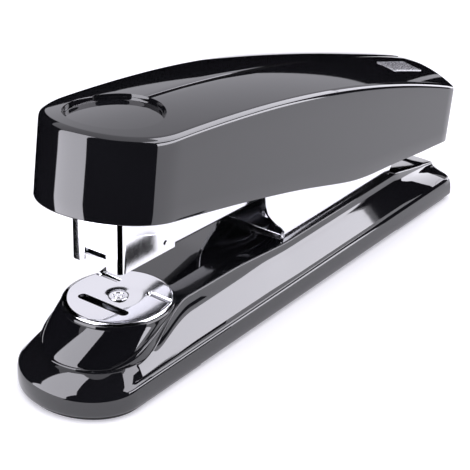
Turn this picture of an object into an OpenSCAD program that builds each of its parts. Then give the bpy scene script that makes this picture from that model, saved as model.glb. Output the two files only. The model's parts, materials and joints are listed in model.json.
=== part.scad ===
// Desk stapler, built as separate pieces on four moving joints.
// Frame: millimetres, +Z up, rest plane at z = 0, nose towards -X, rear towards +X.

/* [Base] */
// Length of the base from its nose to its bowed rear edge
base_length = 158; // [130:1:190]
// Width of the base across the skirt
base_width = 34; // [32:0.5:44]
// Length of the blunt curve at the nose
nose_depth = 13.9; // [9:0.1:17]
// Height of the skirt's upper edge
skirt_top = 6.9; // [5:0.1:9]
// Half of the width of the glossy deck
deck_half_width = 12.6; // [11.4:0.1:14]
// Height of the deck beside the anvil
deck_front_z = 18.3; // [16.9:0.1:19]
// Height of the level deck under the bracket
deck_rear_z = 16; // [15:0.1:17]
// Wall of the moulded base
base_wall = 2; // [1.5:0.1:3]
// Thickness of the rubber soles
sole_thickness = 1.2; // [0.8:0.1:2]

/* [Anvil] */
// Radius of the turning anvil disc
anvil_radius = 12.9; // [11.5:0.1:13]
// Distance from the disc's middle to the forming pocket
pocket_offset = 5.3; // [4.5:0.1:6.5]
// Length of the closed forming pocket
pocket_length = 15; // [13.4:0.1:16]
// Height of the disc's upper face
anvil_top_z = 18.7; // [18.4:0.05:19]

/* [Hinge] */
// Distance of the axle behind the middle of the base
axle_x = 60.4; // [58:0.1:62]
// Height of the axle
axle_z = 29.6; // [28.5:0.1:30.5]
// Radius of the axle
axle_radius = 2; // [1.6:0.1:2.4]
// Half of the width of the bracket over its side plates
bracket_half_width = 10.9; // [10.4:0.1:11.4]
// Thickness of the bracket's sheet steel
bracket_sheet = 1; // [0.8:0.1:1.4]

/* [Magazine] */
// Upward tilt of the magazine towards the nose, in degrees
magazine_tilt = 2.31; // [1:0.01:3]
// Distance from the axle to the front of the head
head_reach = 120; // [116:0.5:121]
// Half of the width of the channel
channel_half_width = 7; // [6.8:0.05:7.2]
// Sheet thickness of the channel and the head
channel_sheet = 0.5; // [0.4:0.05:0.6]
// Width of one staple over its legs
staple_width = 12.7; // [12:0.1:12.9]
// Length of the strip of staples
strip_length = 48; // [20:1:55]
// Distance that the pusher can be drawn back
pusher_travel = 40; // [20:1:42]

/* [Handle] */
// Tilt of the handle in degrees
handle_tilt = 10; // [9:0.1:11]
// Radius of the rounded nose of the cover
cover_nose_radius = 18.1; // [17:0.1:19]
// Half of the width of the cover at its rear
cover_rear_half_width = 20.6; // [19:0.1:22]
// Wall of the moulded cover
cover_wall = 2; // [1.5:0.1:2.6]
// Radius of the arch along the top of the cover
arch_radius = 509.6; // [460:1:560]
// Radius of the crown across the top of the cover
crown_radius = 74.7; // [65:0.5:90]
// Radius of the round thumb dish
dish_radius = 12.2; // [10:0.1:13]
// Depth of the thumb dish
dish_depth = 1.6; // [0.8:0.1:2.2]
// Width of the groove along the top
groove_width = 2.2; // [1.5:0.1:3]

/* [Hidden] */
$fn = 64;
eps = 0.01;
base_x0 = -base_length / 2;
base_x1 = base_length / 2;
anvil_x = -52.5;
foot_x = -59.2;
cap_radius = 13.6;
cap_top_z = anvil_top_z - 0.3;
cap_foot_z = 9.8;
plate_z = sole_thickness;
plate_thickness = 1;
screw_xs = [-60, 57];
screw_y = 8.5;
rivet_xs = [8, 40];
fit = 0.05;
rail_half_width = 5.4;
floor_t = -4;
inner_floor_t = floor_t + channel_sheet;
rail_top_t = 2.4;
crown_t = rail_top_t + 0.6;
channel_top_t = 7.5;
rod_t = 5;
rod_radius = 0.9;
strip_front = -(head_reach - 2.1);
strip_rear = strip_front + strip_length;
pusher_length = 12;
block_front = -9.5;
head_wall = 0.7;
wing_sheet = 0.6;
blade_thickness = 0.6;
web_w = 61.5;
frame_half_width = 9.2;
frame_sheet = 1;
axle_u = (axle_x + 79) * cos(handle_tilt) - axle_z * sin(handle_tilt);
axle_w = (axle_x + 79) * sin(handle_tilt) + axle_z * cos(handle_tilt);
nose_u = cover_nose_radius + 0.3;
rear_u = 140;
rear_bow_radius = 60;
crest_u = 67.6;
crest_w = 71.8;
dish_u = 16;
screw_us = [40, 112];

// ---------- helpers ----------

// Places children in the magazine's own axes, with the axle as their origin.
module in_magazine() {
    translate([axle_x, 0, axle_z])
        rotate([0, magazine_tilt, 0])
            children();
}

// Places children in the handle's own axes.
module in_handle() {
    translate([-79, 0, 0])
        rotate([0, handle_tilt, 0])
            children();
}

// A pin along Y from -half to half.
module cross_pin(r, half) {
    rotate([90, 0, 0])
        cylinder(r = r, h = 2 * half, center = true);
}

// A side profile drawn as [x, z] and carried from y0 to y1.
module side_sheet(points, y0, y1) {
    translate([0, y1, 0])
        rotate([90, 0, 0])
            linear_extrude(height = y1 - y0)
                polygon(points);
}

// Plan outline of the base, moved inwards by d.
module base_outline(d) {
    a = nose_depth - d;
    b = base_width / 2 - d;
    xc = base_x0 + nose_depth;
    bow = 5.2;
    rear_r = (pow(base_width / 2, 2) + bow * bow) / (2 * bow);
    nose = [for (i = [0 : 32]) [xc - a * sin(180 * i / 32), b * cos(180 * i / 32)]];
    intersection() {
        polygon(concat(nose, [[base_x1, -b], [base_x1, b]]));
        union() {
            translate([base_x1 - rear_r, 0])
                circle(r = rear_r - d);
            translate([base_x0, -base_width])
                square([110, 2 * base_width]);
        }
    }
}

// The raised middle of the base above height low, moved inwards by d.
module deck_body(d, low) {
    z0 = skirt_top - eps;
    half = deck_half_width - d;
    foot = base_width / 2 - 0.9 - d;
    intersection() {
        translate([base_x0, 0, 0])
            rotate([90, 0, 90])
                linear_extrude(height = base_length)
                    polygon([
                        [-foot, low], [foot, low], [foot, z0 + 0.2 - d], [half + 1, 13 - d],
                        [half, 21], [-half, 21], [-half - 1, 13 - d], [-foot, z0 + 0.2 - d]
                    ]);
        side_sheet([
            [base_x0 + 0.8 + d, low], [base_x0 + 0.8 + d, skirt_top + 0.2 - d],
            [-73.2 + d, cap_foot_z - d], [anvil_x - 3 + d, cap_foot_z - d],
            [anvil_x + 4 + d, deck_front_z - d], [-43, deck_front_z - d], [-21.8, 17.8 - d],
            [-2.4, deck_rear_z - d], [50, deck_rear_z - d],
            [77.6 - d, 8 - d], [78.3 - d, skirt_top - d], [78.3 - d, low]
        ], -20, 20);
        translate([0, 0, -1])
            linear_extrude(height = 30)
                base_outline(0.9 + d);
    }
}

// The slanted body of the nose cap, moved inwards by d.
module cap_body(d) {
    hull() {
        translate([anvil_x, 0, cap_top_z - 1 - d])
            cylinder(r = cap_radius - d, h = 1, $fn = 48);
        translate([foot_x, 0, cap_foot_z - d])
            cylinder(r = cap_radius - d, h = 0.5, $fn = 48);
    }
}

// Side outline of one bracket plate, as [x, z].
function bracket_side() = [
    [-1.8, deck_rear_z], [-1.5, 17.7], [-2.8, 19.4], [-5.1, 21.4], [-7, 23.5], [-8.5, 25.5],
    [-9.5, 28.4], [-9.8, 31.5], [-8, 33.5], [axle_x - 6, 33.4], [axle_x, axle_z + 3.9],
    [axle_x + 1, axle_z - 1], [axle_x - 3, axle_z - 3], [50, deck_rear_z]
];

// Plan outline of the cover, moved inwards by d.
module cover_outline(d) {
    r = cover_nose_radius - d;
    h1 = cover_rear_half_width - d;
    intersection() {
        union() {
            translate([nose_u, 0])
                circle(r = r);
            polygon([[nose_u, -r], [rear_u, -h1], [rear_u, h1], [nose_u, r]]);
        }
        union() {
            translate([rear_u - rear_bow_radius, 0])
                circle(r = rear_bow_radius - d);
            translate([-5, -30])
                square([100, 60]);
        }
    }
}

// Everything under the crowned top surface, moved inwards by d.
module under_crown(d) {
    translate([crest_u, 0, crest_w - arch_radius])
        rotate([90, 0, 0])
            rotate([0, 0, 79])
                rotate_extrude(angle = 22, $fn = 360)
                    intersection() {
                        translate([arch_radius - crown_radius, 0])
                            circle(r = crown_radius - d);
                        translate([arch_radius - 40, -30])
                            square([50, 60]);
                    }
}

// A helical coil along +X as a closed tube.
module coil(r, wire, length, turns) {
    steps = turns * 12;
    sides = 6;
    rings = [for (i = [0 : steps]) for (j = [0 : sides - 1])
        let (a = 360 * i / 12, b = 360 * j / sides, q = r + wire * cos(b))
        [length * i / steps + wire * sin(b), q * cos(a), q * sin(a)]];
    walls = [for (i = [0 : steps - 1]) for (j = [0 : sides - 1])
        [i * sides + j, i * sides + (j + 1) % sides,
         (i + 1) * sides + (j + 1) % sides, (i + 1) * sides + j]];
    start = [for (j = [sides - 1 : -1 : 0]) j];
    end = [for (j = [0 : sides - 1]) steps * sides + j];
    polyhedron(points = rings, faces = concat(walls, [start], [end]), convexity = 10);
}

// ---------- base ----------

module base_shell() {
    color([0.03, 0.03, 0.035])
        difference() {
            union() {
                translate([0, 0, sole_thickness])
                    linear_extrude(height = skirt_top - sole_thickness - 0.8)
                        base_outline(0);
                translate([0, 0, sole_thickness + 1])
                    linear_extrude(height = skirt_top - sole_thickness - 1)
                        base_outline(0.5);
                deck_body(0, skirt_top - 2);
            }
            difference() {
                union() {
                    translate([0, 0, -1])
                        linear_extrude(height = skirt_top - base_wall + 1)
                            base_outline(base_wall + 0.6);
                    deck_body(base_wall, -1);
                }
                for (x = screw_xs)
                    for (s = [-1, 1])
                        translate([x, s * screw_y, plate_z + plate_thickness])
                            cylinder(r = 2.8, h = 20);
            }
            translate([0, 0, -1])
                linear_extrude(height = plate_z + plate_thickness + 1)
                    base_outline(base_wall);
            cap_body(0);
            translate([foot_x, 0, cap_foot_z])
                cylinder(r = cap_radius + 0.35, h = 0.6);
            for (x = screw_xs)
                for (s = [-1, 1])
                    translate([x, s * screw_y, 0])
                        cylinder(r = 1.25, h = 7);
            for (x = rivet_xs)
                translate([x, 0, 10])
                    cylinder(r = 2, h = 10);
        }
}

module nose_cap() {
    color([0.03, 0.03, 0.035])
        difference() {
            union() {
                cap_body(0);
                translate([foot_x, 0, cap_foot_z])
                    cylinder(r = cap_radius + 0.35, h = 0.6);
            }
            translate([0, 0, -1.2])
                cap_body(2);
            translate([foot_x, 0, cap_foot_z - 5])
                cylinder(r = cap_radius - 2, h = 5.2);
            translate([anvil_x, 0, anvil_top_z - 1.5 - fit])
                cylinder(r = anvil_radius + 0.3, h = 3);
            translate([anvil_x, 0, anvil_top_z - 2.1])
                cylinder(r = 5, h = 3);
            translate([anvil_x, 0, 10])
                cylinder(r = 2, h = 10);
        }
}

module base_plate() {
    color([0.55, 0.55, 0.57])
        difference() {
            translate([0, 0, plate_z])
                linear_extrude(height = plate_thickness)
                    base_outline(base_wall + 0.1);
            for (x = screw_xs)
                for (s = [-1, 1])
                    translate([x, s * screw_y, 0])
                        cylinder(r = 1.25, h = 5);
            for (x = [-25 : 25 : 25])
                translate([x, 0, 0])
                    cylinder(r = 3, h = 5);
        }
}

module sole_pad(x0, x1) {
    difference() {
        intersection() {
            linear_extrude(height = sole_thickness)
                base_outline(1.2);
            translate([x0, -20, -1])
                cube([x1 - x0, 40, 5]);
        }
        for (x = screw_xs)
            for (s = [-1, 1])
                translate([x, s * screw_y, -1])
                    cylinder(r = 3, h = 5);
    }
}

module front_sole() {
    color([0.05, 0.05, 0.05])
        sole_pad(-80, -38);
}

module rear_sole() {
    color([0.05, 0.05, 0.05])
        sole_pad(46, 80);
}

module base_screws() {
    color([0.7, 0.7, 0.72])
        for (x = screw_xs)
            for (s = [-1, 1])
                translate([x, s * screw_y, 0])
                    difference() {
                        union() {
                            translate([0, 0, 0.3])
                                cylinder(r = 2.3, h = plate_z - 0.3);
                            translate([0, 0, plate_z])
                                cylinder(r = 1.25, h = 5.4);
                        }
                        translate([-1.5, -0.25, 0])
                            cube([3, 0.5, 0.7]);
                    }
}

// ---------- hinge ----------

module hinge_bracket() {
    plate_in = bracket_half_width - bracket_sheet;
    color([0.83, 0.84, 0.86])
        difference() {
            union() {
                translate([-1.8, -bracket_half_width, deck_rear_z])
                    cube([51.8, 2 * bracket_half_width, bracket_sheet]);
                for (y0 = [-bracket_half_width, plate_in])
                    side_sheet(bracket_side(), y0, y0 + bracket_sheet);
                for (y0 = [-bracket_half_width, plate_in])
                    translate([axle_x, y0 + bracket_sheet, axle_z])
                        rotate([90, 0, 0])
                            cylinder(r = 4, h = bracket_sheet);
            }
            translate([axle_x, 0, axle_z])
                cross_pin(axle_radius, 20);
            for (x = rivet_xs)
                translate([x, 0, 10])
                    cylinder(r = 2, h = 10);
            translate([24, 0, 10])
                cylinder(r = 3.5, h = 10);
        }
}

module bracket_rivets() {
    color([0.75, 0.76, 0.78])
        for (i = [0, 1])
            translate([rivet_xs[i], 0, 0]) {
                lift = i * 0.5;
                translate([0, 0, deck_rear_z - base_wall - 0.8])
                    cylinder(r = 3.2, h = 0.8);
                translate([0, 0, deck_rear_z - base_wall - eps])
                    cylinder(r = 2, h = base_wall + bracket_sheet + lift + 2 * eps);
                translate([0, 0, deck_rear_z + bracket_sheet + lift])
                    cylinder(r = 3.2, h = 0.8);
            }
}

module hinge_axle() {
    color([0.8, 0.81, 0.83])
        translate([axle_x, 0, axle_z]) {
            cross_pin(axle_radius, bracket_half_width + 1.4);
            translate([0, bracket_half_width + 1.2, 0])
                rotate([90, 0, 0])
                    cylinder(r = 2.9, h = 1);
        }
}

module axle_clips() {
    color([0.7, 0.7, 0.72])
        translate([axle_x, -bracket_half_width - 0.3, axle_z])
            rotate([90, 0, 0])
                difference() {
                    cylinder(r = 3.4, h = 0.6);
                    translate([0, 0, -1])
                        cylinder(r = axle_radius, h = 3);
                    translate([-1.2, -5, -1])
                        cube([2.4, 3.9, 3]);
                }
}

module spacer_washers() {
    color([0.7, 0.7, 0.72])
        for (s = [-1, 1])
            translate([axle_x, s * 9.55, axle_z])
                rotate([90, 0, 0])
                    difference() {
                        cylinder(r = 3.4, h = 0.5, center = true);
                        cylinder(r = axle_radius, h = 2, center = true);
                    }
}

module lift_spring() {
    color([0.72, 0.73, 0.76])
        difference() {
            side_sheet([
                [47, 17], [34, 17], [29, 17.6], [22, 20.2], [14, 23.9], [8, 26.2], [4, 26.9],
                [0.5, 26.2], [0.2, 26.6], [3.8, 27.5], [8.2, 26.8], [14.2, 24.5],
                [22.2, 20.8], [29.2, 18.2], [34, 17.5], [47, 17.5]
            ], -4, 4);
            translate([rivet_xs[1], 0, 10])
                cylinder(r = 2, h = 10);
        }
}

// ---------- anvil ----------

module anvil_rivet() {
    color([0.86, 0.87, 0.89])
        translate([anvil_x, 0, 0]) {
            translate([0, 0, 14.3])
                cylinder(r = 2, h = 4.35);
            translate([0, 0, 13.4])
                cylinder(r = 3, h = 0.9);
            translate([0, 0, anvil_top_z - 0.35])
                cylinder(r = 2.9, h = 0.4);
        }
}

module anvil_spring_washer() {
    color([0.7, 0.71, 0.74])
        translate([anvil_x, 0, anvil_top_z - 2.1])
            difference() {
                cylinder(r = 4.7, h = 0.5);
                translate([0, 0, -1])
                    cylinder(r = 2.1, h = 3);
            }
}

module anvil_plate() {
    color([0.9, 0.91, 0.93])
        translate([anvil_x, 0, anvil_top_z - 1.5])
            difference() {
                rotate_extrude()
                    polygon([
                        [2.05, 0], [anvil_radius - 0.1, 0], [anvil_radius, 0.3],
                        [anvil_radius, 0.9], [anvil_radius - 0.3, 1.3],
                        [anvil_radius - 1.2, 1.5], [2.95, 1.5], [2.95, 1.1], [2.05, 1.1]
                    ]);
                translate([-pocket_offset - 1.2, -pocket_length / 2, 0.7])
                    cube([2.4, pocket_length, 2]);
                for (s = [-1, 1])
                    translate([pocket_offset, s * 7.8, 1.9])
                        rotate([90, 0, 0])
                            cylinder(r = 1.3, h = 7, center = true);
            }
}

// ---------- magazine ----------

module magazine_channel() {
    w = channel_half_width;
    side = [
        [-head_reach + head_wall, floor_t], [0, floor_t], [0, 4.2], [-14, 4.2],
        [-16, channel_top_t], [-head_reach + head_wall + 1.5, channel_top_t],
        [-head_reach + head_wall + 1.5, crown_t + 1], [-head_reach + head_wall, crown_t + 1]
    ];
    color([0.86, 0.87, 0.89])
        in_magazine()
            difference() {
                union() {
                    for (y0 = [-w, w - channel_sheet])
                        side_sheet(side, y0, y0 + channel_sheet);
                    for (y0 = [-w, w - channel_sheet])
                        translate([0, y0 + channel_sheet, 0])
                            rotate([90, 0, 0])
                                cylinder(r = 4, h = channel_sheet);
                    translate([strip_front + 0.6, -w, floor_t])
                        cube([-strip_front - 4, 2 * w, channel_sheet]);
                }
                cross_pin(axle_radius + fit, 20);
            }
}

module magazine_rail() {
    front = strip_front + 0.6;
    rear = -24;
    color([0.62, 0.63, 0.66])
        in_magazine()
            difference() {
                translate([front, -rail_half_width, inner_floor_t])
                    cube([rear - front, 2 * rail_half_width, rail_top_t - inner_floor_t]);
                translate([front - 1, -rail_half_width + 0.7, inner_floor_t - 1])
                    cube([rear - front + 2, 2 * rail_half_width - 1.4,
                          rail_top_t - inner_floor_t + 0.3]);
            }
}

module magazine_head() {
    w = channel_half_width + wing_sheet;
    front = -head_reach;
    color([0.9, 0.91, 0.93])
        in_magazine()
            difference() {
                union() {
                    translate([front, -w, -4.9])
                        cube([head_wall, 2 * w, 13.9]);
                    for (y0 = [-w, w - wing_sheet])
                        side_sheet([
                            [front, -4.9], [-101, -4.6], [-101, -0.9], [-109, 1.3],
                            [-115, 3.4], [-116.5, 9], [front, 9]
                        ], y0, y0 + wing_sheet);
                }
                translate([front - 1, -3.2, -6])
                    cube([3, 6.4, 5.1]);
                for (s = [-1, 1])
                    translate([front - 1, s * w, -6])
                        rotate([0, 0, 45])
                            translate([-0.5, -0.5, 0])
                                cube([1, 1, 20]);
                translate([-104, 0, -2.6])
                    cross_pin(0.8, 20);
            }
}

module head_rivets() {
    color([0.8, 0.81, 0.83])
        in_magazine()
            for (s = [-1, 1])
                translate([-104, s * (channel_half_width + 0.45), -2.6])
                    rotate([90, 0, 0])
                        cylinder(r = 0.8, h = 0.9, center = true);
}

module axle_bushing() {
    color([0.75, 0.68, 0.45])
        in_magazine()
            rotate([90, 0, 0])
                difference() {
                    cylinder(r = 3.2, h = 12.9, center = true);
                    cylinder(r = axle_radius + fit, h = 20, center = true);
                }
}

module rear_block() {
    color([0.08, 0.08, 0.09])
        in_magazine()
            difference() {
                translate([block_front, -6.45, inner_floor_t])
                    cube([5.5, 12.9, 10.2]);
                translate([-30, 0, rod_t])
                    rotate([0, 90, 0])
                        cylinder(r = rod_radius, h = 40);
            }
}

module guide_rod() {
    color([0.78, 0.79, 0.82])
        in_magazine()
            translate([-110, 0, rod_t])
                rotate([0, 90, 0])
                    cylinder(r = rod_radius, h = 105);
}

module pusher_spring() {
    start = strip_rear + pusher_length + 0.3;
    color([0.7, 0.71, 0.74])
        in_magazine()
            translate([start, 0, rod_t])
                coil(1.45, 0.22, block_front - start - 0.3, 22);
}

module staple_strip() {
    h = staple_width / 2;
    color([0.78, 0.79, 0.81])
        in_magazine() {
            translate([strip_front, -h, rail_top_t + 0.1])
                cube([strip_length, 2 * h, 0.5]);
            for (y0 = [-h, h - 0.5])
                translate([strip_front, y0, inner_floor_t + 0.3])
                    cube([strip_length, 0.5, rail_top_t + 0.3 - inner_floor_t - 0.3]);
        }
}

module staple_pusher() {
    color([0.75, 0.1, 0.08])
        in_magazine()
            difference() {
                translate([strip_rear + 0.05, -6.35, inner_floor_t + 0.4])
                    cube([pusher_length, 12.7, 10]);
                translate([strip_rear - 1, -rail_half_width - 0.15, floor_t - 1])
                    cube([pusher_length + 2, 2 * rail_half_width + 0.3,
                          rail_top_t - floor_t + 1.15]);
                translate([strip_rear - 1, 0, rod_t])
                    rotate([0, 90, 0])
                        cylinder(r = rod_radius + fit, h = pusher_length + 2);
            }
}

// ---------- handle ----------

module top_cover() {
    color([0.03, 0.03, 0.035])
        in_handle()
            difference() {
                intersection() {
                    translate([0, 0, 40])
                        linear_extrude(height = 40)
                            cover_outline(0);
                    under_crown(0);
                }
                difference() {
                    intersection() {
                        translate([0, 0, 39])
                            linear_extrude(height = 40)
                                cover_outline(cover_wall);
                        under_crown(cover_wall);
                    }
                    difference() {
                        translate([dish_u, 0, 55])
                            cylinder(r = dish_radius + 2, h = 20);
                        under_crown(dish_depth + 1.8);
                    }
                    for (u = screw_us)
                        translate([u, 0, web_w + frame_sheet])
                            cylinder(r = 3, h = 20);
                }
                side_sheet([
                    [-5, 35], [-5, 48], [3, 47.9], [12, 47.6], [27, 47.5], [45, 47.1],
                    [65, 46.1], [78, 44.9], [86, 44.1], [92, 43.8], [97, 44.1], [103, 44.8],
                    [109, 45.4], [122, 46.2], [136, 47.6], [145, 48.2], [145, 35]
                ], -40, 40);
                difference() {
                    translate([dish_u, 0, 60])
                        cylinder(r = dish_radius, h = 15);
                    under_crown(dish_depth);
                }
                translate([crest_u, 0, crest_w - arch_radius])
                    rotate([90, 0, 0])
                        rotate([0, 0, 81])
                            rotate_extrude(angle = 13.5, $fn = 360)
                                translate([arch_radius - 0.8, -groove_width / 2])
                                    square([4, groove_width]);
                for (u = screw_us)
                    translate([u, 0, web_w])
                        cylinder(r = 1.2, h = 6);
                badge_place()
                    translate([-7, -3, -0.5])
                        cube([14, 6, 3]);
            }
}

// Places children on the top of the cover where the badge sits.
module badge_place() {
    translate([122, -9.5, 68.25])
        rotate([7.3, 0, 0])
            rotate([0, 6.1, 0])
                children();
}

module handle_frame() {
    h = frame_half_width;
    side = [
        [11.2, web_w + frame_sheet], [11.2, 56], [30, 53], [75, 55], [110, 53.5],
        [axle_u - 4, axle_w - 3], [axle_u, axle_w], [axle_u, axle_w + 4],
        [126, web_w + frame_sheet]
    ];
    color([0.7, 0.71, 0.74])
        in_handle()
            difference() {
                union() {
                    translate([11.2, -h, web_w])
                        cube([114.8, 2 * h, frame_sheet]);
                    for (y0 = [-h, h - frame_sheet])
                        side_sheet(side, y0, y0 + frame_sheet);
                    for (y0 = [-h, h - frame_sheet])
                        translate([axle_u, y0 + frame_sheet, axle_w])
                            rotate([90, 0, 0])
                                cylinder(r = 4, h = frame_sheet);
                }
                translate([axle_u, 0, axle_w])
                    cross_pin(axle_radius + fit, 20);
                for (u = screw_us)
                    translate([u, 0, 50])
                        cylinder(r = 1.3, h = 20);
                for (s = [-1, 1])
                    translate([18, s * 4, 50])
                        cylinder(r = 1, h = 20);
                for (u = [58, 76])
                    translate([u, 0, 50])
                        cylinder(r = 4, h = 20);
            }
}

module driver_blade() {
    color([0.6, 0.61, 0.64]) {
        in_magazine()
            translate([-head_reach + 1.55, 0, crown_t + 0.2])
                rotate([0, 2, 0])
                    translate([-blade_thickness / 2, -6.2, 0])
                        cube([blade_thickness, 12.4, 20.3]);
        in_handle()
            difference() {
                translate([11.5, -6.2, web_w - 0.8])
                    cube([11.5, 12.4, 0.8]);
                for (s = [-1, 1])
                    translate([18, s * 4, 50])
                        cylinder(r = 1, h = 20);
            }
    }
}

module driver_rivets() {
    color([0.75, 0.76, 0.78])
        in_handle()
            for (s = [-1, 1])
                translate([18, s * 4, 0]) {
                    translate([0, 0, web_w - 1.3])
                        cylinder(r = 1.7, h = 0.5);
                    translate([0, 0, web_w - 0.81])
                        cylinder(r = 1, h = 1.82);
                    translate([0, 0, web_w + frame_sheet])
                        cylinder(r = 1.7, h = 0.5);
                }
}

module handle_spring() {
    color([0.72, 0.73, 0.76])
        in_handle()
            side_sheet([
                [106, 61.5], [106, 61], [96, 61], [91, 60.6], [84, 58.4], [77, 55.6], [71, 54],
                [68.5, 53.9], [68.5, 54.4], [70.8, 54.5], [76.8, 56.1], [83.8, 58.9],
                [90.8, 61.1], [96, 61.5]
            ], -2.5, 2.5);
}

module cover_screws() {
    color([0.7, 0.7, 0.72])
        in_handle()
            for (u = screw_us)
                translate([u, 0, 0]) {
                    translate([0, 0, web_w - 1.2])
                        cylinder(r = 2.4, h = 1.2);
                    translate([0, 0, web_w - eps])
                        cylinder(r = 1.2, h = 5.5);
                }
}

module cover_badge() {
    color([0.85, 0.86, 0.88])
        in_handle()
            badge_place()
                translate([-7, -3, -0.5])
                    cube([14, 6, 0.6]);
}

base_shell();
nose_cap();
base_plate();
front_sole();
rear_sole();
base_screws();
hinge_bracket();
bracket_rivets();
hinge_axle();
axle_clips();
spacer_washers();
lift_spring();
anvil_rivet();
anvil_spring_washer();
anvil_plate();
magazine_channel();
magazine_rail();
magazine_head();
head_rivets();
axle_bushing();
rear_block();
guide_rod();
pusher_spring();
staple_strip();
staple_pusher();
top_cover();
handle_frame();
driver_blade();
driver_rivets();
handle_spring();
cover_screws();
cover_badge();
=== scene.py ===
"""Looks for a desk stapler: an arched handle over a chrome magazine on a glossy moulded base."""

import json
import logging
import math
from dataclasses import dataclass, field
from enum import Enum

import bmesh
import bpy
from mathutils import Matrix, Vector

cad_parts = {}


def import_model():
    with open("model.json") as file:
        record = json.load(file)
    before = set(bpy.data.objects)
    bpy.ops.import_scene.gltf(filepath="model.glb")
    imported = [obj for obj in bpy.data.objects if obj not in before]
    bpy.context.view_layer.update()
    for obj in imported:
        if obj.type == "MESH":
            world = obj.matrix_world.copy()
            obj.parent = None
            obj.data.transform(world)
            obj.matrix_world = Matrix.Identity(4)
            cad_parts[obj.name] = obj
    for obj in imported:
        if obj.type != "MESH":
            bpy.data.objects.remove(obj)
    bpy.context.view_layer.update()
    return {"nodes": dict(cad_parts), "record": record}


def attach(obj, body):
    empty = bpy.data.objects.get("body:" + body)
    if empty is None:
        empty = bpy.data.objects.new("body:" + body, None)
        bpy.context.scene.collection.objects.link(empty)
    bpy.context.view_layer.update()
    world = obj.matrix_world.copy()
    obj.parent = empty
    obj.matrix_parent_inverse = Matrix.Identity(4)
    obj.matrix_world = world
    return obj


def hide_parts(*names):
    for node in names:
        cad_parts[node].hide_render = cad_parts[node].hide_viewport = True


LOG = logging.getLogger("stapler")
MM = 0.001
SHARP_ANGLE = math.radians(38)
Point = tuple[float, float, float]
Ring = list[Point]


class Body(Enum):
    """The moving bodies that pieces ride on."""

    BASE = "base"
    ANVIL = "anvil"
    MAGAZINE = "magazine"
    PUSHER = "pusher"
    HANDLE = "handle"


class Slot(Enum):
    """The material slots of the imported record."""

    GLOSS_BLACK = "gloss_black"
    COVER_BLACK = "cover_black"
    CAP_BLACK = "cap_black"
    SOLE_RUBBER = "sole_rubber"
    ANVIL_CHROME = "anvil_chrome"
    HEAD_CHROME = "head_chrome"
    CHANNEL_CHROME = "channel_chrome"
    BRACKET_CHROME = "bracket_chrome"
    ZINC_STEEL = "zinc_steel"
    PIN_STEEL = "pin_steel"
    SPRING_STEEL = "spring_steel"
    STAPLE_WIRE = "staple_wire"
    BRASS_BUSH = "brass_bush"
    BLOCK_PLASTIC = "block_plastic"
    PUSHER_PLASTIC = "pusher_plastic"
    BADGE_METAL = "badge_metal"


@dataclass(frozen=True)
class Finish:
    """One surface finish: its colour, shine and fine relief."""

    slot: Slot
    colour: Point
    deep_colour: Point
    metallic: float = 0.0
    smooth: float = 0.05
    rough: float = 0.12
    ior: float = 1.5
    coat: float = 0.0
    coat_roughness: float = 0.03
    grain: tuple[float, float, float] = (900.0, 900.0, 900.0)
    relief: float = 0.05
    relief_depth: float = 0.00001
    cloud_scale: float = 60.0

    def material(self) -> bpy.types.Material:
        """Builds the node material of this finish.

        Returns:
            The new material, with colour variation, roughness and bump from noise.
        """
        made = bpy.data.materials.new(self.slot.value)
        made.use_nodes = True
        tree = made.node_tree
        shader = tree.nodes["Principled BSDF"]
        shader.inputs["Metallic"].default_value = self.metallic
        shader.inputs["IOR"].default_value = self.ior
        shader.inputs["Coat Weight"].default_value = self.coat
        shader.inputs["Coat Roughness"].default_value = self.coat_roughness
        place = tree.nodes.new("ShaderNodeTexCoord")
        stretch = tree.nodes.new("ShaderNodeMapping")
        stretch.inputs["Scale"].default_value = self.grain
        tree.links.new(place.outputs["Object"], stretch.inputs["Vector"])
        fine = self.noise(tree, stretch.outputs["Vector"], 1.0, 4.0)
        cloud = self.noise(tree, place.outputs["Object"], self.cloud_scale, 3.0)
        blend = tree.nodes.new("ShaderNodeMix")
        blend.data_type = "RGBA"
        blend.inputs["A"].default_value = (*self.deep_colour, 1.0)
        blend.inputs["B"].default_value = (*self.colour, 1.0)
        tree.links.new(cloud, blend.inputs["Factor"])
        tree.links.new(blend.outputs["Result"], shader.inputs["Base Color"])
        shine = tree.nodes.new("ShaderNodeMapRange")
        shine.inputs["To Min"].default_value = self.smooth
        shine.inputs["To Max"].default_value = self.rough
        tree.links.new(fine, shine.inputs["Value"])
        tree.links.new(shine.outputs["Result"], shader.inputs["Roughness"])
        bump = tree.nodes.new("ShaderNodeBump")
        bump.inputs["Strength"].default_value = self.relief
        bump.inputs["Distance"].default_value = self.relief_depth
        tree.links.new(fine, bump.inputs["Height"])
        tree.links.new(bump.outputs["Normal"], shader.inputs["Normal"])
        return made

    @staticmethod
    def noise(
        tree: bpy.types.NodeTree, vector: bpy.types.NodeSocket, scale: float, detail: float
    ) -> bpy.types.NodeSocket:
        """Adds one noise texture.

        Args:
            tree: the material's node tree.
            vector: the socket that gives the place on the surface.
            scale: how many features go in a metre.
            detail: how many octaves the noise has.

        Returns:
            The noise's factor output.
        """
        node = tree.nodes.new("ShaderNodeTexNoise")
        node.inputs["Scale"].default_value = scale
        node.inputs["Detail"].default_value = detail
        tree.links.new(vector, node.inputs["Vector"])
        return node.outputs["Fac"]


BRUSHED = (300.0, 4000.0, 4000.0)
TURNED = (4000.0, 200.0, 4000.0)

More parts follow.
